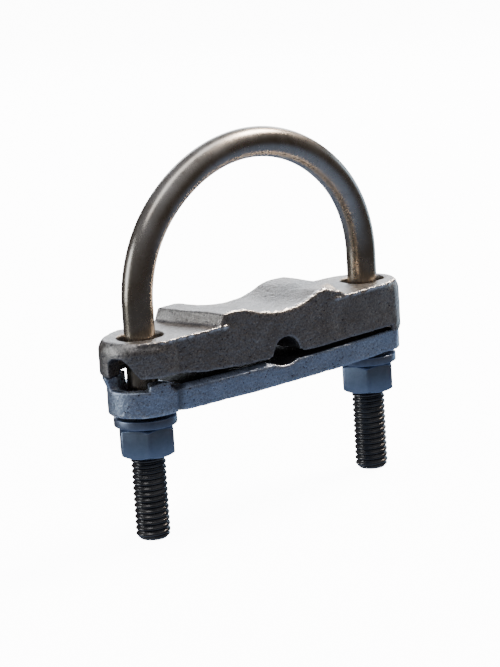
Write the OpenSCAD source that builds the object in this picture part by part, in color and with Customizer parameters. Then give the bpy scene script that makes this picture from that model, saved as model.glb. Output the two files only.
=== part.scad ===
// U-bolt clamp for a pipe and a round conductor: two cast bars ride on the legs of a bent rod.
// Units are millimetres. The origin is the centre of the U-bolt's bend.
// +X runs along the bars, +Y along the pipe, +Z up towards the bend.

/* [U-bolt] */
// Diameter of the plain bent rod
rod_d = 8.5; // [7:0.1:9]
// Distance between the two leg centres
leg_spacing = 86.3; // [80:0.1:100]
// How much larger the crown's bend radius is than that of the two shoulders
crown_ease = 12; // [1:0.5:20]
// Distance from the start of the bend down to the leg ends
leg_drop = 64.2; // [55:0.1:80]
// Crest diameter of the 3/8-16 thread
thread_d = 9.525; // [9:0.005:10]
// Root diameter of the thread
thread_root_d = 7.6; // [7:0.1:8.4]
// Thread pitch
thread_pitch = 1.5875; // [1:0.0001:2]
// Number of thread ridges on each leg
thread_count = 26; // [22:1:34]

/* [Saddle casting] */
// Radius of the ear on the notched side
saddle_left_ear_r = 11.4; // [10.5:0.1:13]
// Radius of the ear on the plain side
saddle_right_ear_r = 10.5; // [10.3:0.1:13]
// Half depth beside the legs
saddle_end_depth = 10.3; // [9.5:0.1:10.3]
// Half depth at mid length
saddle_mid_depth = 12; // [11:0.1:14]
// Height of the flat ear tops
ear_top = -7.9; // [-9:0.1:-6]
// Underside of the casting
saddle_underside = -19.9; // [-21:0.1:-18]
// Radius of the pipe seat
seat_r = 33; // [28:0.5:40]
// Lowest line of the pipe seat
seat_low = -7.9; // [-9:0.1:-6]
// Top of the two shoulders beside the seat
shoulder_top = -4.6; // [-6:0.1:-3]
// Half length of the raised shoulders at their top
shoulder_reach = 22.6; // [18:0.1:25]
// How far the end of each shoulder leans out at its foot
shoulder_lean = 1.6; // [0:0.1:3]
// Radius of the conductor groove
groove_r = 5.3; // [3:0.1:7]
// Height of the conductor groove's centre line
groove_z = -20.6; // [-22:0.1:-19]

/* [Clamp bar] */
// Radius of both ears
bar_ear_r = 9.9; // [9.5:0.1:12]
// Half depth beside the legs
bar_end_depth = 9.4; // [8.5:0.1:9.4]
// Half depth at mid length
bar_mid_depth = 11.7; // [10:0.1:14]
// Upper face of the bar
bar_top = -22.4; // [-23:0.1:-21]
// Underside of the bar
bar_underside = -28.7; // [-31:0.1:-26]
// Radius of the shallow conductor groove
shallow_r = 11; // [6:0.5:20]
// Depth of the shallow conductor groove
shallow_depth = 1.1; // [0.5:0.1:2]
// Height of the collar round the notched ear
collar_top = -21.4; // [-22:0.1:-19.5]
// Height of the collar's front lug
front_lug_top = -19.5; // [-20:0.1:-17.8]
// Height of the collar's back lug
back_lug_top = -17.8; // [-19:0.1:-17.8]

/* [Leg slots] */
// Length of the slots along the bars
slot_length = 13.5; // [11:0.1:14.5]
// Width of the slots across the bars
slot_width = 11; // [10:0.1:12]

/* [Nuts and washers] */
// Nut width across flats
nut_flats = 14.29; // [12:0.01:18]
// Nut height
nut_height = 8.33; // [6:0.01:10]
// Diameter of the bearing face left by the nut's chamfer
nut_face_d = 13.4; // [11:0.1:14]
// Lock washer outside diameter
washer_d = 17.3; // [15:0.1:18]
// Lock washer inside diameter
washer_bore_d = 9.8; // [9.7:0.1:11]
// Lock washer thickness
washer_t = 2.4; // [1:0.1:3]
// Width of the split in each lock washer
washer_split = 0.9; // [0.4:0.1:2]
// Free gap between the clamp bar and each washer
washer_gap = 1.1; // [0.3:0.1:2]
// Turn of the left nut about its leg
left_nut_turn = 53; // [0:1:59]
// Turn of the right nut about its leg
right_nut_turn = 46; // [0:1:59]

/* [Fits] */
// Gap left between faces of different pieces
part_gap = 0.3; // [0.1:0.1:0.5]
// Radial running clearance of the nuts on the thread crests
thread_clearance = 0.05; // [0.01:0.01:0.1]

/* [Hidden] */
leg_x = leg_spacing / 2;
join_angle = 45;
shoulder_x = crown_ease * cos(join_angle);
shoulder_r = leg_x - shoulder_x;
crown_z = -crown_ease * sin(join_angle);
crown_r = shoulder_r + crown_ease;
thread_top = -leg_drop + (thread_count + 0.5) * thread_pitch;
recess_top = back_lug_top + part_gap;
washer_top = bar_underside - washer_gap;
nut_top = washer_top - washer_t - 0.2;
big = 100;
$fn = 96;

// ---- shared shapes ----

// Puts its children on one leg: side is -1 for the left leg and +1 for the right leg.
module on_leg(side) {
  translate([side * leg_x, 0, 0])
    children();
}

// Plan of a casting: its long sides bow out from end_depth beside the legs to mid_depth at mid length.
// The left ear is a full circle; the right ear is a circle cut by the same bowed sides.
module casting_plan(left_r, right_r, end_depth, mid_depth) {
  bow = mid_depth - end_depth;
  bow_r = (leg_x * leg_x + bow * bow) / (2 * bow);
  on_leg(-1)
    circle(r = left_r);
  intersection() {
    union() {
      square([2 * leg_x, 4 * mid_depth], center = true);
      on_leg(1)
        circle(r = right_r);
    }
    translate([0, mid_depth - bow_r])
      circle(r = bow_r, $fn = 720);
    translate([0, bow_r - mid_depth])
      circle(r = bow_r, $fn = 720);
  }
}

// Slab between two heights with the plan given as its child.
module slab(low, high) {
  translate([0, 0, low])
    linear_extrude(height = high - low)
      children();
}

// Prism along Y with the side profile, in X and Z, given as its child.
module along_y(depth) {
  rotate([90, 0, 0])
    linear_extrude(height = depth, center = true)
      children();
}

// Long hole for one leg, cut through both castings.
module leg_slot(side) {
  on_leg(side)
    slab(-big, 0)
      union() {
        square([slot_length - slot_width, slot_width], center = true);
        for (end = [-1, 1])
          translate([end * (slot_length - slot_width) / 2, 0])
            circle(d = slot_width);
      }
}

// Wedge in plan that opens from the left leg; angles run from -X towards the front.
module left_sector(from, to) {
  on_leg(-1)
    polygon([
      [0, 0],
      [-big * cos(from), -big * sin(from)],
      [-big * cos((from + to) / 2), -big * sin((from + to) / 2)],
      [-big * cos(to), -big * sin(to)]
    ]);
}

// ---- U-bolt ----

// Part of a ring of bent rod in the XZ plane, from angle start over sweep degrees.
module rod_arc(radius, start, sweep) {
  rotate([90, 0, 0])
    rotate([0, 0, start])
      rotate_extrude(angle = sweep)
        translate([radius, 0])
          circle(d = rod_d);
}

// Threaded end of one leg: annular ridges with a chamfered tip.
module threaded_leg() {
  root = thread_root_d / 2;
  crest = thread_d / 2;
  ridges = [
    for (i = [0:thread_count - 1])
      let (z = -leg_drop + (i + 0.5) * thread_pitch)
        each [
          [root, z + 0.06 * thread_pitch],
          [crest, z + 0.44 * thread_pitch],
          [crest, z + 0.56 * thread_pitch],
          [root, z + 0.94 * thread_pitch]
        ]
  ];
  rotate_extrude()
    polygon(concat([[0, -leg_drop], [root - 0.5, -leg_drop]], ridges, [[root, thread_top], [0, thread_top]]));
}

// One leg with the shoulder that turns it over towards the crown.
module bolt_side() {
  translate([shoulder_x, 0, 0])
    union() {
      rod_arc(shoulder_r, 0, join_angle);
      translate([shoulder_r, 0, 0])
        union() {
          translate([0, 0, thread_top])
            cylinder(d = rod_d, h = -thread_top);
          threaded_leg();
        }
    }
}

module u_bolt() {
  color("#a8a296")
    union() {
      bolt_side();
      rotate([0, 0, 180])
        bolt_side();
      translate([0, 0, crown_z])
        rod_arc(crown_r, join_angle, 180 - 2 * join_angle);
    }
}

// ---- saddle casting ----

module saddle_plan() {
  casting_plan(saddle_left_ear_r, saddle_right_ear_r, saddle_end_depth, saddle_mid_depth);
}

// Raised shoulders with the pipe seat between them.
module shoulders() {
  foot = shoulder_reach + shoulder_lean;
  difference() {
    intersection() {
      slab(ear_top - 1, shoulder_top)
        saddle_plan();
      along_y(big)
        polygon([
          [-foot, ear_top - 1],
          [foot, ear_top - 1],
          [foot, ear_top],
          [shoulder_reach, shoulder_top],
          [-shoulder_reach, shoulder_top],
          [-foot, ear_top]
        ]);
    }
    translate([0, 0, seat_low + seat_r])
      rotate([90, 0, 0])
        cylinder(r = seat_r, h = big, center = true);
  }
}

// Room under the notched ear for the collar of the clamp bar, fading out along the bar.
module ear_recess() {
  along_y(big)
    polygon([
      [-big, saddle_underside - 1],
      [-big, recess_top],
      [-leg_x + 1, recess_top],
      [-leg_x + 13, (recess_top + saddle_underside) / 2 - 0.2],
      [-leg_x + 30, saddle_underside],
      [-leg_x + 30, saddle_underside - 1]
    ]);
}

// Opening in the end of the notched ear, through to the leg slot.
module ear_port() {
  on_leg(-1)
    rotate([0, 0, 14])
      translate([-big / 2, 0, 0])
        rotate([90, 0, 90])
          linear_extrude(height = big, center = true)
            polygon([
              [3.2, saddle_underside],
              [3.2, -13.6],
              [1.6, -12.2],
              [-1.4, -12.2],
              [-2.9, -13.3],
              [-6, recess_top],
              [-6, saddle_underside]
            ]);
}

// Groove across the underside for the conductor.
module conductor_groove() {
  translate([0, 0, groove_z])
    rotate([90, 0, 0])
      cylinder(r = groove_r, h = big, center = true);
}

// Lip under the plain ear that closes the gap between the castings.
module saddle_lip() {
  slab(bar_top + part_gap, saddle_underside + 1)
    intersection() {
      saddle_plan();
      translate([leg_x + 1.5, -big])
        square([big, 2 * big]);
    }
}

module saddle_body() {
  color("#7c7f86")
    difference() {
      union() {
        slab(saddle_underside, ear_top)
          saddle_plan();
        shoulders();
        saddle_lip();
      }
      leg_slot(-1);
      leg_slot(1);
      ear_recess();
      ear_port();
      conductor_groove();
    }
}

// ---- clamp bar ----

module bar_plan() {
  casting_plan(bar_ear_r, bar_ear_r, bar_end_depth, bar_mid_depth);
}

// Everything above a height over the plan given as its child.
module above(height) {
  slab(height, 0)
    children();
}

// Cuts that leave a collar round the notched ear, with a taller lug at the front and at the back.
module collar_cuts() {
  above(collar_top)
    left_sector(-16, 60);
  above(front_lug_top)
    left_sector(59, 100);
  above(collar_top)
    left_sector(99, 280);
  above(bar_top)
    translate([-leg_x + 3.2, -big / 2])
      square([big, big]);
}

// Shallow groove that holds the conductor from below.
module shallow_groove() {
  translate([0, 0, bar_top - shallow_depth + shallow_r])
    rotate([90, 0, 0])
      cylinder(r = shallow_r, h = big, center = true);
}

module clamp_bar() {
  color("#6f7785")
    difference() {
      union() {
        slab(bar_underside, bar_top)
          bar_plan();
        slab(bar_underside, back_lug_top)
          on_leg(-1)
            circle(r = bar_ear_r);
      }
      collar_cuts();
      leg_slot(-1);
      leg_slot(1);
      shallow_groove();
    }
}

// ---- nuts and washers ----

// Split lock washer; the split faces the back.
module lock_washer() {
  translate([0, 0, washer_top - washer_t])
    difference() {
      cylinder(d = washer_d, h = washer_t);
      translate([0, 0, -1])
        cylinder(d = washer_bore_d, h = washer_t + 2);
      translate([-washer_split / 2, 0, -1])
        cube([washer_split, washer_d, washer_t + 2]);
    }
}

module washer_left() {
  color("#565c68")
    on_leg(-1)
      lock_washer();
}

module washer_right() {
  color("#565c68")
    on_leg(1)
      lock_washer();
}

// Hex nut chamfered at both ends; turn is its angle about the leg.
module hex_nut(turn) {
  corner_r = nut_flats / sqrt(3);
  face_r = nut_face_d / 2;
  cone_r = corner_r + 1;
  chamfer = (cone_r - face_r) * tan(30);
  translate([0, 0, nut_top - nut_height])
    difference() {
      intersection() {
        rotate([0, 0, turn])
          cylinder(r = corner_r, h = nut_height, $fn = 6);
        rotate_extrude()
          polygon([
            [0, 0],
            [face_r, 0],
            [cone_r, chamfer],
            [cone_r, nut_height - chamfer],
            [face_r, nut_height],
            [0, nut_height]
          ]);
      }
      translate([0, 0, -1])
        cylinder(r = thread_d / 2 + thread_clearance, h = nut_height + 2);
    }
}

module nut_left() {
  color("#4f5a70")
    on_leg(-1)
      hex_nut(left_nut_turn);
}

module nut_right() {
  color("#4f5a70")
    on_leg(1)
      hex_nut(right_nut_turn);
}

u_bolt();
saddle_body();
clamp_bar();
washer_left();
washer_right();
nut_left();
nut_right();
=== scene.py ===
import math

import bmesh
import bpy
import numpy as np
from mathutils import Matrix, Vector, noise


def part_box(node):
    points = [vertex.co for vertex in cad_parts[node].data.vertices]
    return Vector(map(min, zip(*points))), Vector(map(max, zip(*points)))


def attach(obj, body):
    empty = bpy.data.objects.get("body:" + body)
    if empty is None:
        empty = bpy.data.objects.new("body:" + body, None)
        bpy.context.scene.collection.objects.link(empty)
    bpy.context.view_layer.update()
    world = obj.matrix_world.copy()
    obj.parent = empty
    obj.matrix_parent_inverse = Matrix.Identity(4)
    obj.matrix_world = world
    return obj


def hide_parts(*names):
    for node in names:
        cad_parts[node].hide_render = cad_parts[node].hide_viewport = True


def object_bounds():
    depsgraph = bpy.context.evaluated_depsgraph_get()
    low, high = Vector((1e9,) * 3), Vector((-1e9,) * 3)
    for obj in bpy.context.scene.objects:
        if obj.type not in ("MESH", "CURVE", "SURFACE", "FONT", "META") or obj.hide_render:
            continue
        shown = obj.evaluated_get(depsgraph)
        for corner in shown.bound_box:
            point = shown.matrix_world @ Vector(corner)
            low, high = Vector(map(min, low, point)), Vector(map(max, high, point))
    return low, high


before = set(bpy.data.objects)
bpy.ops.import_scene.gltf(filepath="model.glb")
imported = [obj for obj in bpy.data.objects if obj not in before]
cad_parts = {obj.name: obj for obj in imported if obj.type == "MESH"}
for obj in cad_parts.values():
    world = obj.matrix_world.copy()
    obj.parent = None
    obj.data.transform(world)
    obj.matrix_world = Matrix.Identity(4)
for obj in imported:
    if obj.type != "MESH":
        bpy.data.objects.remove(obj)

# Looks of a U-bolt pipe clamp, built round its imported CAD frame.
# Sizes are in millimetres until MM turns them into metres; places come from the CAD boxes.

MM = 0.001
cad_low, cad_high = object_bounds()
bolt_low, bolt_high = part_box("u_bolt")
bar_low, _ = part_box("clamp_bar")

# ---- U-bolt and fasteners ----

ROD_R = 4.25
CROWN_EASE = 12
JOIN_ANGLE = math.radians(45)
THREAD_CREST_R = 4.7625
THREAD_ROOT_R = 4.2
THREAD_PITCH = 1.5875
THREAD_TURNS = 26.5
THREAD_SHARPNESS = 0.8
TIP_CHAMFER = 1.1
NUT_FLATS = 14.29
NUT_FACE_R = 6.7
NUT_BORE_R = 4.85
# Width and depth of the bevel at each end of a nut's bore.
NUT_MOUTH = (0.6, 0.7)
NUT_CHAMFER = math.radians(30)
NUT_CORNER_WEAR = 0.12
NUT_EDGE = 0.16
NUT_EDGE_ANGLE = math.radians(18)
LEFT_NUT_TURN = math.radians(53)
RIGHT_NUT_TURN = math.radians(46)
WASHER_OUTER_R = 8.65
WASHER_INNER_R = 4.95
WASHER_SPLIT = 0.9
WASHER_EDGE_R = 0.35

# ---- castings ----

VOXEL = 0.3
SMOOTHING = 7
# Sand texture, coarse to fine: size of the lumps, their height, depth of detail.
SAND = ((8, 0.35, 1), (1.6, 0.12, 2), (0.8, 0.06, 1))
# Distances to a long side are counted from this far inside it.
EDGE_ROUND = 0.4
# Half depth of each bowed casting, at its legs and in its middle.
SADDLE_DEPTH = (10.3, 12)
BAR_DEPTH = (9.4, 11.7)
EAR_TOP = -7.9
SEAT_R = 33
SEAT_LOW = -7.9
SHOULDER_TOP = -4.6
SHOULDER_REACH = 22.6
GROOVE_R = 5.3
GROOVE_Z = -20.6
SLOT_HALF_X = 7.1
SLOT_HALF_Y = 5.8
BEAD_Z = -8.3
CREASE_X = -37.6
FRONT_LUG_X = -44.2
FRONT_LUG_HALF_WIDTH = 4.6
# Spans over which a surface comes to count as facing up, by its normal's z, and as upright, by 1 less
# the size of that z.
FACES_UP = (0.2, 0.6)
UPRIGHT = (0.05, 0.3)
# How far the seams stand out of the castings.
BEAD_OUT = 0.4
BEAD_UP = 0.25
LIP_UP = 0.25
HOLE_RIM_UP = 0.2
LEFT_RIM_UP = 1.1
# Parts of a seam fainter than this aren't made lumpy.
FAINT = 0.02

# ---- camera ----

CAMERA_AZIMUTH = math.radians(43.0)
CAMERA_ELEVATION = math.radians(12.369)
CAMERA_ROLL = math.radians(-3.558)
CAMERA_DISTANCE = 739.3
CAMERA_ASIDE = -0.957
CAMERA_RAISE = -15.351
CAMERA_LENS = 143.1
SENSOR_WIDTH = 36

# ---- floor ----

FLOOR_HALF = 40000
FLOOR_GAP = 0.2
FLOOR_GLOW = 12

# ---- places that follow from these ----

LEG_X = bolt_high.x / MM - THREAD_CREST_R
SHOULDER_X = CROWN_EASE * math.cos(JOIN_ANGLE)
SHOULDER_R = LEG_X - SHOULDER_X
CROWN_R = SHOULDER_R + CROWN_EASE
CROWN_Z = -CROWN_EASE * math.sin(JOIN_ANGLE)
LEG_END = bolt_low.z / MM
THREAD_TOP = LEG_END + THREAD_TURNS * THREAD_PITCH
BAR_FOOT = bar_low.z / MM

# ---- colours ----

ROD_TONES = ((0.34, 0.285, 0.23), (0.42, 0.37, 0.315), (0.48, 0.435, 0.39))
ROD_STAIN = (0.22, 0.15, 0.09)
ROD_LOW_BROWN = (0.36, 0.29, 0.20)
# Heights in metres between which the brown on the rod fades out upwards.
ROD_BROWN_HEIGHTS = (-0.008, 0.016)
PIT = (0.035, 0.035, 0.04)
# Colour of the painted shade on the castings' hidden faces, hollows and crease.
PAINTED_SHADE_COLOUR = (0.05, 0.046, 0.045)
FLOOR_TONES = ((0.88, 0.88, 0.88), (0.92, 0.92, 0.92))


# ---- material helpers ----

def new_material(name):
    """A new material, its nodes and links, and its Principled shader."""
    material = bpy.data.materials.new(name)
    material.use_nodes = True
    nodes = material.node_tree.nodes
    return material, nodes, material.node_tree.links, nodes["Principled BSDF"]


def add_noise(nodes, links, vector, size_mm, detail, roughness):
    """Noise whose features are about size_mm across."""
    node = nodes.new("ShaderNodeTexNoise")
    node.inputs["Scale"].default_value = 1 / (size_mm * MM)
    node.inputs["Detail"].default_value = detail
    node.inputs["Roughness"].default_value = roughness
    links.new(vector, node.inputs["Vector"])
    return node


def add_ramp(nodes, links, value, stops):
    """Colour ramp through stops of (position, colour)."""
    ramp = nodes.new("ShaderNodeValToRGB")
    elements = ramp.color_ramp.elements
    while len(elements) < len(stops):
        elements.new(0.5)
    for element, (position, colour) in zip(elements, stops):
        element.position = position
        element.color = (*colour, 1)
    links.new(value, ramp.inputs["Fac"])
    return ramp


def add_mix(nodes, links, factor, colour, end):
    """Moves a varying colour towards a fixed end colour by a factor."""
    mix = nodes.new("ShaderNodeMix")
    mix.data_type = "RGBA"
    factor_in, colour_in, end_in = [s for s in mix.inputs if s.enabled]
    links.new(factor, factor_in)
    links.new(colour, colour_in)
    end_in.default_value = (*end, 1)
    return [s for s in mix.outputs if s.enabled][0]


def add_blend(nodes, links, factor, value, end):
    """Moves a varying value towards a fixed end value by a factor."""
    mix = nodes.new("ShaderNodeMix")
    mix.data_type = "FLOAT"
    links.new(factor, mix.inputs[0])
    links.new(value, mix.inputs[2])
    mix.inputs[3].default_value = end
    return mix.outputs[0]


def painted(nodes, name):
    """A value stored on the mesh's vertices under a name."""
    node = nodes.new("ShaderNodeAttribute")
    node.attribute_name = name
    return node.outputs["Fac"]


def add_range(nodes, links, value, low, high, from_low=0.0, from_high=1.0):
    """Maps a value from one range to another."""
    node = nodes.new("ShaderNodeMapRange")
    node.inputs["From Min"].default_value = from_low
    node.inputs["From Max"].default_value = from_high
    node.inputs["To Min"].default_value = low
    node.inputs["To Max"].default_value = high
    links.new(value, node.inputs["Value"])
    return node.outputs["Result"]


def add_bump(nodes, links, shader, heights):
    """Stacks bump layers of (height socket, depth in mm, strength) and feeds the shader's normal."""
    normal = None
    for height, depth_mm, strength in heights:
        bump = nodes.new("ShaderNodeBump")
        bump.inputs["Distance"].default_value = depth_mm * MM
        bump.inputs["Strength"].default_value = strength
        links.new(height, bump.inputs["Height"])
        if normal is not None:
            links.new(normal, bump.inputs["Normal"])
        normal = bump.outputs["Normal"]
    links.new(normal, shader.inputs["Normal"])


def object_place(nodes):
    """Coordinates that stay with the piece."""
    return nodes.new("ShaderNodeTexCoord").outputs["Object"]


def stretched_place(nodes, links, scale):
    """Object coordinates scaled per axis, for streaks."""
    mapping = nodes.new("ShaderNodeMapping")
    mapping.inputs["Scale"].default_value = scale
    links.new(object_place(nodes), mapping.inputs["Vector"])
    return mapping.outputs["Vector"]


# ---- materials ----

def rod_material():
    """Satin bent rod: warm grey steel with cloudy tones, brown stains and browner legs."""
    material, nodes, links, shader = new_material("satin_rod")
    place = object_place(nodes)
    cloud = add_noise(nodes, links, place, size_mm=9, detail=6, roughness=0.65)
    wave = add_noise(nodes, links, place, size_mm=6, detail=1, roughness=0.5)
    stain = add_noise(nodes, links, place, size_mm=3.5, detail=5, roughness=0.7)
    tone = add_ramp(nodes, links, cloud.outputs["Fac"], [
        (0.3, ROD_TONES[0]),
        (0.5, ROD_TONES[1]),
        (0.7, ROD_TONES[2]),
    ])
    spots = add_range(nodes, links, stain.outputs["Fac"], low=0, high=0.35, from_low=0.54, from_high=0.76)
    stained = add_mix(nodes, links, spots, tone.outputs["Color"], ROD_STAIN)
    split = nodes.new("ShaderNodeSeparateXYZ")
    links.new(place, split.inputs["Vector"])
    brown = add_range(nodes, links, split.outputs["Z"], 0.55, 0, *ROD_BROWN_HEIGHTS)
    colour = add_mix(nodes, links, brown, stained, ROD_LOW_BROWN)
    links.new(colour, shader.inputs["Base Color"])
    rough = add_range(nodes, links, cloud.outputs["Fac"], low=0.22, high=0.33, from_low=0.3, from_high=0.7)
    links.new(rough, shader.inputs["Roughness"])
    shader.inputs["Metallic"].default_value = 1
    add_bump(nodes, links, shader, [(wave.outputs["Fac"], 0.2, 0.3)])
    return material


def casting_material(name, deep, middle, bright, edge):
    """Rough plated sand casting: grain with painted sparkle, dark pits, polished rims with a painted glint
    and painted shade on hidden faces.

    The mesh carries two painted values, one for the polished rims with their painted glint and one for the
    painted shade, that say where those are.
    """
    material, nodes, links, shader = new_material(name)
    place = object_place(nodes)
    cloud = add_noise(nodes, links, place, size_mm=6, detail=6, roughness=0.7)
    grain = add_noise(nodes, links, place, size_mm=0.8, detail=4, roughness=0.65)
    speck = add_noise(nodes, links, place, size_mm=0.45, detail=2, roughness=0.5)
    tone = add_ramp(nodes, links, cloud.outputs["Fac"], [
        (0.35, middle),
        (0.7, bright),
    ])
    shade = add_range(nodes, links, speck.outputs["Fac"], low=0.5, high=0, from_low=0.36, from_high=0.6)
    speckled = add_mix(nodes, links, shade, tone.outputs["Color"], deep)
    # Painted sparkle: the fine grain's highest specks move towards the bright edge colour, standing in for
    # glints.
    painted_sparkle = add_range(nodes, links, speck.outputs["Fac"], low=0, high=0.5, from_low=0.65, from_high=0.76)
    glinting = add_mix(nodes, links, painted_sparkle, speckled, edge)
    pits = add_range(nodes, links, grain.outputs["Fac"], low=0.85, high=0, from_low=0.31, from_high=0.4)
    pitted = add_mix(nodes, links, pits, glinting, PIT)
    polish_and_painted_glint = painted(nodes, "polish_and_painted_glint")
    painted_shade = painted(nodes, "painted_shade")
    # Polished rims: smoother, with a painted glint in the bright edge colour.
    shiny = add_mix(nodes, links, polish_and_painted_glint, pitted, edge)
    # Painted shade: hidden faces turn dark, rougher and not metallic.
    colour = add_mix(nodes, links, painted_shade, shiny, PAINTED_SHADE_COLOUR)
    links.new(colour, shader.inputs["Base Color"])
    rough = add_range(nodes, links, grain.outputs["Fac"], low=0.24, high=0.5, from_low=0.3, from_high=0.7)
    smoother = add_blend(nodes, links, polish_and_painted_glint, rough, 0.2)
    links.new(add_blend(nodes, links, painted_shade, smoother, 0.6), shader.inputs["Roughness"])
    links.new(add_range(nodes, links, painted_shade, 0.95, 0), shader.inputs["Metallic"])
    add_bump(nodes, links, shader, [
        (grain.outputs["Fac"], 0.24, 0.7),
        (speck.outputs["Fac"], 0.1, 0.6),
    ])
    return material


def fastener_material(name, dark, light, low_rough, high_rough):
    """Smooth dark plated steel with faint machining marks."""
    material, nodes, links, shader = new_material(name)
    cloud = add_noise(nodes, links, object_place(nodes), size_mm=4, detail=4, roughness=0.6)
    streaks = stretched_place(nodes, links, (1, 1, 6))
    marks = add_noise(nodes, links, streaks, size_mm=1.6, detail=3, roughness=0.6)
    tone = add_ramp(nodes, links, cloud.outputs["Fac"], [(0.35, dark), (0.7, light)])
    links.new(tone.outputs["Color"], shader.inputs["Base Color"])
    mark = marks.outputs["Fac"]
    rough = add_range(nodes, links, mark, low_rough, high_rough, from_low=0.3, from_high=0.7)
    links.new(rough, shader.inputs["Roughness"])
    shader.inputs["Metallic"].default_value = 0.95
    add_bump(nodes, links, shader, [(mark, 0.04, 0.3)])
    return material


def floor_material():
    """Pale matt floor with a barely visible paper grain."""
    material, nodes, links, shader = new_material("pale_floor")
    grain = add_noise(nodes, links, object_place(nodes), size_mm=2, detail=3, roughness=0.5)
    tone = add_ramp(nodes, links, grain.outputs["Fac"], [
        (0.3, FLOOR_TONES[0]),
        (0.7, FLOOR_TONES[1]),
    ])
    links.new(tone.outputs["Color"], shader.inputs["Base Color"])
    shader.inputs["Roughness"].default_value = 0.9
    shader.inputs["Emission Color"].default_value = (1, 1, 1, 1)
    shader.inputs["Emission Strength"].default_value = FLOOR_GLOW
    return material


# ---- mesh helpers ----

def grid_faces(rows, columns, close_rows=False, close_columns=True):
    """Quads over a grid of points stored row by row."""
    faces = []
    for r in range(rows if close_rows else rows - 1):
        for c in range(columns if close_columns else columns - 1):
            next_r = (r + 1) % rows
            next_c = (c + 1) % columns
            faces.append((
                r * columns + c,
                r * columns + next_c,
                next_r * columns + next_c,
                next_r * columns + c,
            ))
    return faces


def add_piece(name, points_mm, faces, materials, body, nodes):
    """Makes a mesh piece from points in millimetres that stands for CAD nodes and rides on their body."""
    mesh = bpy.data.meshes.new(name)
    mesh.from_pydata([tuple(v * MM for v in p) for p in points_mm], [], faces)
    return add_mesh(name, mesh, materials, body, nodes)


def add_mesh(name, mesh, materials, body, nodes):
    """Puts a mesh in the scene as the visible piece that stands for CAD nodes on a body."""
    tidy = bmesh.new()
    tidy.from_mesh(mesh)
    bmesh.ops.recalc_face_normals(tidy, faces=tidy.faces)
    tidy.to_mesh(mesh)
    tidy.free()
    mesh.shade_smooth()
    piece = bpy.data.objects.new(name, mesh)
    bpy.context.scene.collection.objects.link(piece)
    for material in materials:
        mesh.materials.append(material)
    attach(piece, body)
    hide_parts(*nodes)
    return piece


def evaluated_mesh(piece):
    """The piece's mesh with its modifiers applied."""
    graph = bpy.context.evaluated_depsgraph_get()
    return bpy.data.meshes.new_from_object(piece.evaluated_get(graph))


# ---- U-bolt ----

def arc_points(centre_x, centre_z, radius, start, end, count):
    """Points and outward directions along an arc in the XZ plane, angles in radians."""
    for i in range(count):
        a = start + (end - start) * i / (count - 1)
        yield (centre_x + radius * math.cos(a), centre_z + radius * math.sin(a), math.cos(a), math.sin(a))


def bolt_path():
    """Centre line of the plain rod from the right leg over the crown to the left leg."""
    rows = 24
    path = [(LEG_X, THREAD_TOP * (1 - i / rows), 1, 0) for i in range(rows)]
    path += arc_points(SHOULDER_X, 0, SHOULDER_R, 0, JOIN_ANGLE, 40)
    path += list(arc_points(0, CROWN_Z, CROWN_R, JOIN_ANGLE, math.pi - JOIN_ANGLE, 90))[1:]
    path += list(arc_points(-SHOULDER_X, 0, SHOULDER_R, math.pi - JOIN_ANGLE, math.pi, 40))[1:]
    path += [(-LEG_X, THREAD_TOP * (i + 1) / rows, -1, 0) for i in range(rows)]
    return path


def rod_points(around):
    """Rings of points round the centre line of the plain rod."""
    points = []
    for x, z, out_x, out_z in bolt_path():
        for j in range(around):
            a = 2 * math.pi * j / around
            across = ROD_R * math.cos(a)
            points.append((x + across * out_x, ROD_R * math.sin(a), z + across * out_z))
    return points


def thread_radius(turn, z):
    """Radius of the helical thread at a turn (0 to 1 round the leg) and height."""
    phase = (z - LEG_END) / THREAD_PITCH - turn
    flank = (0.5 - 0.5 * math.cos(2 * math.pi * phase)) ** THREAD_SHARPNESS
    radius = THREAD_ROOT_R + (THREAD_CREST_R - THREAD_ROOT_R) * flank
    tip = THREAD_CREST_R - TIP_CHAMFER + (z - LEG_END)
    fade = ROD_R + (THREAD_CREST_R - ROD_R) * min(1, max(0, (THREAD_TOP - z) / THREAD_PITCH))
    return min(radius, tip, max(ROD_R, fade))


def thread_points(side, around, rows_per_turn):
    """Threaded leg from its tip up to the plain rod."""
    rows = int(THREAD_TURNS * rows_per_turn) + 1
    points = [(side * LEG_X, 0, LEG_END)] * around
    for r in range(rows):
        z = LEG_END + (THREAD_TOP - LEG_END) * r / (rows - 1)
        for j in range(around):
            turn = j / around
            radius = thread_radius(turn, z)
            a = 2 * math.pi * turn
            points.append((side * LEG_X + radius * math.cos(a), radius * math.sin(a), z))
    points += [(side * LEG_X, 0, THREAD_TOP)] * around
    return points, rows + 2


def build_bolt(rod, thread):
    """The bent rod and its two threaded legs as one piece with two materials."""
    around = 64
    points = rod_points(around)
    rows = len(points) // around
    faces = grid_faces(rows, around)
    faces.append(tuple(range(around)))
    faces.append(tuple(range((rows - 1) * around, rows * around)))
    plain_count = len(faces)
    for side in (-1, 1):
        leg, leg_rows = thread_points(side, around, rows_per_turn=14)
        start = len(points)
        faces += [tuple(start + i for i in f) for f in grid_faces(leg_rows, around)]
        points += leg
    piece = add_piece("bent_rod", points, faces, [rod, thread], "bolt", ["u_bolt"])
    for polygon in piece.data.polygons:
        polygon.material_index = int(polygon.index >= plain_count)
    weld = bmesh.new()
    weld.from_mesh(piece.data)
    bmesh.ops.remove_doubles(weld, verts=weld.verts, dist=1e-6)
    weld.to_mesh(piece.data)
    weld.free()
    return piece


# ---- castings ----

def clouds(name, size_mm, depth):
    """A procedural cloud pattern that moves vertices."""
    texture = bpy.data.textures.new(name, "CLOUDS")
    texture.noise_scale = size_mm * MM
    texture.noise_depth = depth
    return texture


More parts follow.
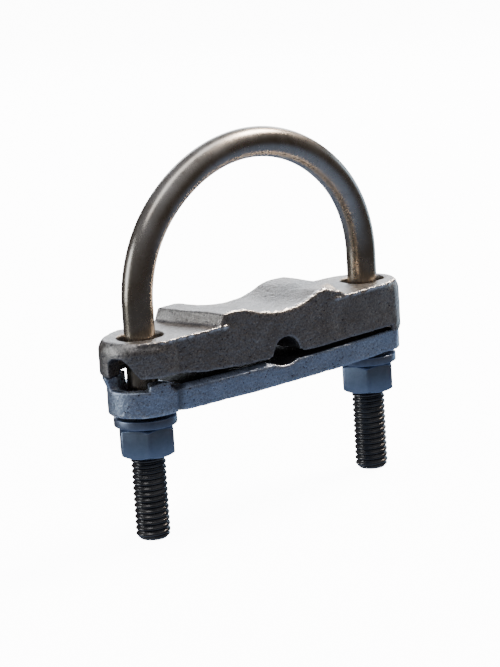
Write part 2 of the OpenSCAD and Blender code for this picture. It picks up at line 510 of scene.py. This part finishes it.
def cast_mesh(node):
    """The CAD node's shape remade as an even mesh with rounded edges and a sand-cast surface."""
    rough = bpy.data.objects.new(node + "_rough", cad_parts[node].data.copy())
    bpy.context.scene.collection.objects.link(rough)
    remesh = rough.modifiers.new("even", "REMESH")
    remesh.mode = "VOXEL"
    remesh.voxel_size = VOXEL * MM
    smooth = rough.modifiers.new("round", "SMOOTH")
    smooth.factor = 0.5
    smooth.iterations = SMOOTHING
    for size_mm, depth_mm, depth in SAND:
        wave = rough.modifiers.new("wave", "DISPLACE")
        wave.texture = clouds("sand", size_mm, depth)
        wave.texture_coords = "LOCAL"
        wave.strength = depth_mm * MM
        wave.mid_level = 0.5
    mesh = evaluated_mesh(rough)
    mesh.materials.clear()
    bpy.data.objects.remove(rough)
    return mesh


def mesh_arrays(mesh):
    """Vertex places and normals, in millimetres and unit vectors."""
    count = len(mesh.vertices)
    places = np.zeros(count * 3)
    mesh.vertices.foreach_get("co", places)
    normals = np.zeros(count * 3)
    mesh.vertices.foreach_get("normal", normals)
    return places.reshape(-1, 3) / MM, normals.reshape(-1, 3)


def set_places(mesh, places):
    """Moves the vertices to new places in millimetres."""
    mesh.vertices.foreach_set("co", (places * MM).ravel())
    mesh.update()


def bump_line(distance, half_width):
    """A smooth ridge that is 1 on the line and fades out over about half_width."""
    return np.exp(-(distance / half_width) ** 2)


def make_lumpy(ridge, places, size_mm, seed, least, gain, span):
    """Varies a ridge's strength along its length, by a factor from least up to least plus gain."""
    near = ridge > FAINT
    ridge[near] *= least + gain * fade(lumps(places[near], size_mm, seed), *span)
    return ridge


def lumps(places, size_mm, seed):
    """Lumpy variation between about 0 and 1 along the surface."""
    shift = Vector((seed, 2 * seed, 3 * seed))
    return np.array([0.5 + 0.5 * noise.noise(Vector(p) / size_mm + shift) for p in places])


def side_depth(x, end_depth, mid_depth):
    """Half depth of a bowed casting at x."""
    bow = mid_depth - end_depth
    bow_r = (LEG_X ** 2 + bow ** 2) / (2 * bow)
    return mid_depth - bow_r + np.sqrt(np.maximum(bow_r ** 2 - x ** 2, 0))


def edge_distance(places, depths):
    """How far inside the casting's long sides a point lies, seen from above."""
    return side_depth(places[:, 0], *depths) - EDGE_ROUND - np.abs(places[:, 1])


def fade(value, low, high):
    """0 below low, 1 above high and a smooth rise between them."""
    t = np.clip((value - low) / (high - low), 0, 1)
    return t * t * (3 - 2 * t)


def draw_in_ear_tops(places, top, depth, inset):
    """Leans the outer sides of both ears inwards over the last stretch below their tops."""
    rise = np.clip((places[:, 2] - top + depth) / depth, 0, 1) ** 2
    for side in (-1, 1):
        out = places[:, :2] - (side * LEG_X, 0)
        reach = np.hypot(out[:, 0], out[:, 1])
        weight = fade(out[:, 0] * side, -2, 4) * fade(reach, 6.5, 9.5) * rise
        places[:, :2] -= (out.T * weight * inset / np.maximum(reach, 1)).T


def lean_sides(places, high, low, inset):
    """Draws the long sides in from a height down to a lower one, as a casting's draft does."""
    drop = np.clip((high - places[:, 2]) / (high - low), 0, 1)
    places[:, 1] -= np.sign(places[:, 1]) * inset * drop * fade(np.abs(places[:, 1]), 6.5, 9)


def flare_back_lug(places, foot, top, flare):
    """Widens the collar's back lug outwards from its foot to its top."""
    out = places[:, :2] - (-LEG_X, 0)
    reach = np.hypot(out[:, 0], out[:, 1])
    around = np.degrees(np.arctan2(out[:, 1], -out[:, 0]))
    weight = fade(around, 5, 20) * fade(-around, -95, -80) * fade(reach, 7, 9)
    weight *= fade(places[:, 2], foot, top)
    places[:, :2] += (out.T * weight * flare / np.maximum(reach, 1)).T


def round_seat_edges(places, softness):
    """Rounds the crests where the seat runs up into the two shoulders."""
    across = np.minimum(np.abs(places[:, 0]), SEAT_R - 1)
    seat = SEAT_LOW + SEAT_R - np.sqrt(SEAT_R ** 2 - across ** 2)
    crest = np.minimum(seat, SHOULDER_TOP)
    soft = -softness * np.logaddexp(-seat / softness, -SHOULDER_TOP / softness)
    inner = fade(-across, -SHOULDER_REACH, -SHOULDER_REACH + 3)
    places[:, 2] += (soft - crest) * fade(places[:, 2], -9.5, -8) * inner


def splay_left_shoulder(places, splay):
    """Runs the left shoulder out to the left towards the back."""
    x, y, z = places.T
    weight = fade(y, -11, 11) * fade(-x, 3, 14) * fade(x, -33.5, -25.5)
    places[:, 0] -= splay * weight * fade(z, EAR_TOP - 0.6, EAR_TOP - 0.1)


def soften_right_shoulder(places, drop):
    """Rounds the right shoulder down towards its front corner."""
    x, y, z = places.T
    weight = fade(x, 14, 23) * fade(-y, 6, 12) * fade(z, EAR_TOP + 0.2, SHOULDER_TOP)
    places[:, 2] -= drop * weight * (x < 30)


def paint(mesh, name, values):
    """Stores one value per vertex under a name."""
    layer = mesh.attributes.new(name, "FLOAT", "POINT")
    layer.data.foreach_set("value", np.clip(values, 0, 1).astype(np.float32))


def in_hollow(places, hollow_r):
    """How deep in shade a point is: 1 in the conductor hole, less in the leg slots, 0 elsewhere."""
    x, y, z = places.T
    slot = (np.abs(np.abs(x) - LEG_X) < SLOT_HALF_X) & (np.abs(y) < SLOT_HALF_Y)
    hole = np.hypot(x, z - GROOVE_Z) < hollow_r
    return np.where(hole, 1.0, np.where(slot, 0.5, 0.0))


def saddle_painted_shade(places, up, to_edge):
    """Painted shade in the hollows and on the underside, ending short of the long sides."""
    hollow = in_hollow(places, GROOVE_R + 0.4) * (places[:, 2] < EAR_TOP - 0.7)
    return np.maximum(hollow, fade(-up, *FACES_UP)) * fade(to_edge, 0.4, 1.2)


def saddle_bead(places, up, to_edge):
    """Lumpy seam along the front of both ears, just below their tops, raised and given a painted glint."""
    x, y, z = places.T
    on_ears = fade(np.abs(x), 19, 22) * (y < 0)
    upright = fade(1 - np.abs(up), *UPRIGHT)
    bead = bump_line(z - BEAD_Z, 0.45) * on_ears * upright * (to_edge < 1.2)
    return make_lumpy(bead, places, size_mm=1.5, seed=1, least=0.15, gain=1.3, span=(0.3, 0.7))


def seat_lip(places, up, to_edge):
    """Lumpy seam along the seat's front edge, raised and given a painted glint."""
    x, y, _ = places.T
    along_seat = (np.abs(x) < 25) & (y < 0)
    lip = bump_line(to_edge - 0.3, 0.55) * fade(up, *FACES_UP) * along_seat
    return make_lumpy(lip, places, size_mm=1.9, seed=2, least=0.15, gain=1.3, span=(0.3, 0.7))


def saddle_hem(places, to_edge):
    """How far the front's lower edge hangs down, more to the right and not over the groove."""
    x, y, z = places.T
    on_front = (y < 0) & (x > -33)
    low_front = fade(0.8 - to_edge, 0, 0.8) * fade(-z, 17, 19.5) * on_front
    clear_of_groove = np.hypot(x, z - GROOVE_Z) > GROOVE_R + 1
    drop = 0.35 + 0.45 * fade(x, 4, 9)
    return drop * low_front * clear_of_groove


def build_saddle(material):
    """Upper casting: rounded seat, splayed left shoulder, worn right one and front seams with a painted
    glint.
    """
    mesh = cast_mesh("saddle_body")
    places, normals = mesh_arrays(mesh)
    up = normals[:, 2]
    to_edge = edge_distance(places, SADDLE_DEPTH)
    bead = saddle_bead(places, up, to_edge)
    lip = seat_lip(places, up, to_edge)
    hem = saddle_hem(places, to_edge)
    # Polish with a painted glint on the ear seams and seat lip; painted shade in the hollows and on the
    # underside.
    paint(mesh, "polish_and_painted_glint", np.maximum(bead, lip) * (places[:, 0] > -45))
    paint(mesh, "painted_shade", saddle_painted_shade(places, up, to_edge))

    round_seat_edges(places, softness=0.55)
    splay_left_shoulder(places, splay=3.5)
    soften_right_shoulder(places, drop=1.9)
    draw_in_ear_tops(places, EAR_TOP, depth=3.2, inset=1.4)
    places[:, 2] -= hem
    places[:, 1] -= BEAD_OUT * bead
    places[:, 2] += BEAD_UP * bead + LIP_UP * lip
    set_places(mesh, places)
    return add_mesh("upper_casting", mesh, [material], "saddle", ["saddle_body"])


def crease_beside_collar(places, width, depth):
    """Upright valley on the front where the round collar meets the bar."""
    x, y, z = places.T
    valley = bump_line(x - CREASE_X, width) * fade(-y, 6, 8.5)
    places[:, 1] += depth * valley
    places[:, 2] -= 0.6 * depth * valley * fade(z, -23, -21.5)


def round_front_lug(places, drop):
    """Wears down both shoulders of the collar's front lug."""
    x, y, z = places.T
    aside = np.clip(np.abs(x - FRONT_LUG_X) / FRONT_LUG_HALF_WIDTH, 0, 1) ** 2
    places[:, 2] -= drop * aside * fade(z, -21.4, -19.8) * (y < -4)


def bar_left_rim(places, to_edge):
    """Raised bright rim along the front of the bar's top, left of the conductor hole."""
    x, y, z = places.T
    rim = bump_line(to_edge - 1.3, 1.0) * fade(z, -24, -22.8)
    return rim * fade(x, -38, -35) * fade(-x, 3, 8) * (y < 0)


def bar_painted_shade(places, up, to_edge, left_rim):
    """Painted shade where the saddle covers the bar, in the leg slots, lightly on the left rim and in the
    collar's crease.
    """
    x, y, _ = places.T
    covered = fade(up, 0.3, 0.7) * fade(to_edge, 0.2, 0.8) * (x > -34)
    in_slots = in_hollow(places, GROOVE_R) * (np.abs(x) > 20)
    painted_shade = np.maximum(covered, in_slots)
    # On the left rim a light painted shade; the covered top's painted shade starts only behind it.
    behind_rim = 0.35 * left_rim + painted_shade * fade(to_edge, 1.3, 2.2)
    crease = bump_line(x - CREASE_X, 0.8) * fade(-y, 6, 8)
    return np.maximum(np.where(left_rim > 0.05, behind_rim, painted_shade), 0.5 * crease)


def hole_rim(places, up, to_edge):
    """Edge at the front of the conductor hole, raised and given a painted glint."""
    x, y, _ = places.T
    facing_up = fade(up, 0.1, 0.5)
    near_hole = fade(6 - np.abs(x - 0.5), 0, 2)
    return bump_line(to_edge - 0.25, 0.5) * facing_up * near_hole * (y < 0)


def collar_foot(places, up):
    """Broken polished seam with a painted glint round the collar's lower rim."""
    x, y, z = places.T
    on_collar = (x < -36) & (y < 4)
    upright = fade(1 - np.abs(up), *UPRIGHT)
    foot = bump_line(z - BAR_FOOT - 0.5, 0.5) * on_collar * upright
    return make_lumpy(foot, places, size_mm=0.9, seed=5, least=0, gain=1.4, span=(0.4, 0.75))


def build_bar(material):
    """Lower casting: flared back lug, worn front lug, leaning sides and a rim beside the hole."""
    mesh = cast_mesh("clamp_bar")
    places, normals = mesh_arrays(mesh)
    up = normals[:, 2]
    to_edge = edge_distance(places, BAR_DEPTH)
    left_rim = bar_left_rim(places, to_edge)
    rim = hole_rim(places, up, to_edge)
    # Painted shade where the saddle covers the bar, in the slots and crease; polish with a painted glint
    # on the hole's rim and collar's foot.
    paint(mesh, "painted_shade", bar_painted_shade(places, up, to_edge, left_rim))
    paint(mesh, "polish_and_painted_glint", np.maximum(rim, collar_foot(places, up)))

    flare_back_lug(places, foot=-21.5, top=-18, flare=1.0)
    lean_sides(places, high=-22.4, low=-28.7, inset=0.5)
    crease_beside_collar(places, width=1.3, depth=1.3)
    round_front_lug(places, drop=1.0)
    places[:, 2] += HOLE_RIM_UP * rim + LEFT_RIM_UP * left_rim
    set_places(mesh, places)
    return add_mesh("lower_casting", mesh, [material], "bar", ["clamp_bar"])


# ---- nuts and washers ----

def hex_radius(angle, turn):
    """Distance from a nut's axis to its side at an angle, with slightly softened corners."""
    a = (angle - turn + math.pi / 6) % (math.pi / 3) - math.pi / 6
    flat = NUT_FLATS / 2 / math.cos(math.pi / 6 - abs(a))
    return min(flat, NUT_FLATS / math.sqrt(3) - NUT_CORNER_WEAR)


def nut_section(corner, bottom, top):
    """Radius and height round a nut's section, from the bore's lower end to its upper end."""
    mouth_width, mouth_depth = NUT_MOUTH
    chamfer = (corner - NUT_FACE_R) * math.tan(NUT_CHAMFER)
    return [
        (NUT_BORE_R, bottom + mouth_depth),
        (NUT_BORE_R + mouth_width, bottom),
        (NUT_FACE_R, bottom),
        (corner, bottom + chamfer),
        (corner, top - chamfer),
        (NUT_FACE_R, top),
        (NUT_BORE_R + mouth_width, top),
        (NUT_BORE_R, top - mouth_depth),
    ]


def build_nut(name, node, body, side, turn, material):
    """Hexagonal nut with chamfered corners, turned about its leg by an angle."""
    low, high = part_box(node)
    around = 240
    columns = []
    for j in range(around):
        a = 2 * math.pi * j / around
        section = nut_section(hex_radius(a, turn), low.z / MM, high.z / MM)
        columns.append([(side * LEG_X + r * math.cos(a), r * math.sin(a), z) for r, z in section])
    rows = list(zip(*columns))
    points = [point for row in rows for point in row]
    faces = grid_faces(len(rows), around, close_rows=True)
    piece = add_piece(name, points, faces, [material], body, [node])
    bevel = piece.modifiers.new("soft_edges", "BEVEL")
    bevel.width = NUT_EDGE * MM
    bevel.segments = 2
    bevel.limit_method = "ANGLE"
    bevel.angle_limit = NUT_EDGE_ANGLE
    return piece


def washer_section(bottom, top):
    """Radius and height round a washer's section, a rectangle with rounded corners."""
    soft = WASHER_EDGE_R
    for radius, z, start in (
        (WASHER_OUTER_R - soft, top - soft, 0),
        (WASHER_INNER_R + soft, top - soft, 90),
        (WASHER_INNER_R + soft, bottom + soft, 180),
        (WASHER_OUTER_R - soft, bottom + soft, 270),
    ):
        for step in range(5):
            a = math.radians(start + 22.5 * step)
            yield (radius + soft * math.cos(a), z + soft * math.sin(a))


def build_washer(name, node, body, side, material):
    """Split lock washer: a ring of nearly square section with a slit at the back."""
    low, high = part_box(node)
    section = list(washer_section(low.z / MM, high.z / MM))
    half_slit = WASHER_SPLIT / 2 / WASHER_OUTER_R
    start, end = math.pi / 2 + half_slit, 2.5 * math.pi - half_slit
    rows = 160
    points = []
    for i in range(rows):
        a = start + (end - start) * i / (rows - 1)
        for radius, z in section:
            points.append((side * LEG_X + radius * math.cos(a), radius * math.sin(a), z))
    faces = grid_faces(rows, len(section))
    faces.append(tuple(range(len(section))))
    faces.append(tuple(range((rows - 1) * len(section), rows * len(section))))
    return add_piece(name, points, faces, [material], body, [node])


# ---- stage ----

def build_floor():
    """A large glowing plane just below the object. It neither lights the metal nor shows in it."""
    half = FLOOR_HALF * MM
    z = cad_low.z - FLOOR_GAP * MM
    corners = [(-half, -half, z), (half, -half, z), (half, half, z), (-half, half, z)]
    mesh = bpy.data.meshes.new("floor")
    mesh.from_pydata(corners, [], [(0, 1, 2, 3)])
    floor = bpy.data.objects.new("floor", mesh)
    bpy.context.scene.collection.objects.link(floor)
    mesh.materials.append(floor_material())
    floor.visible_glossy = False
    floor.visible_diffuse = False
    floor.visible_shadow = False


def aim(thing, target):
    """Turns a light to face a point."""
    thing.rotation_mode = "QUATERNION"
    thing.rotation_quaternion = (Vector(target) - thing.location).to_track_quat("-Z", "Y")


def add_light(name, place, size, watts, colour):
    """Soft rectangular light, aimed at the object; size is its width and height in metres."""
    light = bpy.data.lights.new(name, "AREA")
    light.shape = "RECTANGLE"
    light.size, light.size_y = size
    light.energy = watts
    light.color = colour
    thing = bpy.data.objects.new(name, light)
    bpy.context.scene.collection.objects.link(thing)
    thing.location = place
    aim(thing, (0, 0, 0))


def build_lights():
    """Soft lights from above and behind with a warm key from the right, and a dim graded room."""
    add_light("overhead", place=(0.0, 0.02, 0.9), size=(1.5, 0.3), watts=4.4, colour=(0.91, 0.95, 1.0))
    add_light("warm_key", place=(0.85, -0.04, 0.92), size=(0.4, 0.4), watts=25, colour=(1.0, 0.88, 0.76))
    add_light("back_left", place=(-0.8, 0.62, 0.16), size=(0.3, 0.6), watts=3.4, colour=(0.83, 0.92, 1.0))
    add_light("back_right", place=(0.75, 0.85, 0.38), size=(0.9, 0.4), watts=5.6, colour=(0.82, 0.90, 1.0))
    add_light("right", place=(0.95, 0.12, -0.05), size=(0.4, 0.5), watts=1.2, colour=(0.55, 0.77, 1.0))
    build_room()


def build_room():
    """Surroundings that the metal reflects: bluish below and above, dim and warm at the horizon."""
    world = bpy.data.worlds.new("soft_room")
    bpy.context.scene.world = world
    world.use_nodes = True
    nodes, links = world.node_tree.nodes, world.node_tree.links
    background = nodes["Background"]
    place = nodes.new("ShaderNodeTexCoord")
    split = nodes.new("ShaderNodeSeparateXYZ")
    links.new(place.outputs["Generated"], split.inputs["Vector"])
    sky = add_ramp(nodes, links, add_range(nodes, links, split.outputs["Z"], 0, 1, -1, 1), [
        (0.0, (0.30, 0.38, 0.55)),
        (0.25, (0.20, 0.26, 0.38)),
        (0.41, (0.074, 0.070, 0.070)),
        (0.5, (0.066, 0.057, 0.049)),
        (0.62, (0.085, 0.080, 0.076)),
        (1.0, (0.40, 0.44, 0.52)),
    ])
    links.new(sky.outputs["Color"], background.inputs["Color"])
    background.inputs["Strength"].default_value = 1.0


# ---- build the camera ----

def build_camera():
    """Looks at the object from the front left, a little above it, with a slight roll."""
    sin_a, cos_a = math.sin(CAMERA_AZIMUTH), math.cos(CAMERA_AZIMUTH)
    sin_e, cos_e = math.sin(CAMERA_ELEVATION), math.cos(CAMERA_ELEVATION)
    back = Vector((-sin_a * cos_e, -cos_a * cos_e, sin_e))
    level = (-back).cross(Vector((0, 0, 1))).normalized()
    upright = level.cross(-back)
    right = level * math.cos(CAMERA_ROLL) + upright * math.sin(CAMERA_ROLL)
    up = upright * math.cos(CAMERA_ROLL) - level * math.sin(CAMERA_ROLL)
    data = bpy.data.cameras.new("camera")
    data.lens = CAMERA_LENS
    data.sensor_width = SENSOR_WIDTH
    data.clip_start, data.clip_end = 0.05, 50
    camera = bpy.data.objects.new("camera", data)
    bpy.context.scene.collection.objects.link(camera)
    turn = Matrix((right, up, back)).transposed().to_4x4()
    place = (back * CAMERA_DISTANCE + right * CAMERA_ASIDE + up * CAMERA_RAISE) * MM
    camera.matrix_world = Matrix.Translation(place) @ turn
    bpy.context.scene.camera = camera


# ---- build everything ----

rod = rod_material()
thread = fastener_material(
    "dark_thread", dark=(0.075, 0.07, 0.067), light=(0.15, 0.137, 0.125), low_rough=0.18, high_rough=0.36
)
nut = fastener_material(
    "slate_nut", dark=(0.30, 0.37, 0.48), light=(0.38, 0.45, 0.57), low_rough=0.3, high_rough=0.46
)
washer = fastener_material(
    "dark_washer", dark=(0.22, 0.26, 0.34), light=(0.34, 0.38, 0.47), low_rough=0.32, high_rough=0.5
)
# The edge colours are those of the painted sparkle and of the painted glints on the polished rims.
upper_cast = casting_material(
    "upper_cast",
    deep=(0.17, 0.15, 0.13),
    middle=(0.355, 0.32, 0.29),
    bright=(0.52, 0.48, 0.445),
    edge=(1.0, 0.92, 0.84),
)
lower_cast = casting_material(
    "lower_cast",
    deep=(0.26, 0.305, 0.39),
    middle=(0.50, 0.565, 0.68),
    bright=(0.66, 0.72, 0.83),
    edge=(0.90, 0.90, 0.90),
)

build_bolt(rod, thread)
build_saddle(upper_cast)
build_bar(lower_cast)
build_washer("left_lock_washer", "washer_left", "left_washer", -1, washer)
build_washer("right_lock_washer", "washer_right", "right_washer", 1, washer)
build_nut("left_hex_nut", "nut_left", "left_nut", -1, LEFT_NUT_TURN, nut)
build_nut("right_hex_nut", "nut_right", "right_nut", 1, RIGHT_NUT_TURN, nut)
build_floor()
build_lights()
build_camera()

bpy.context.view_layer.update()
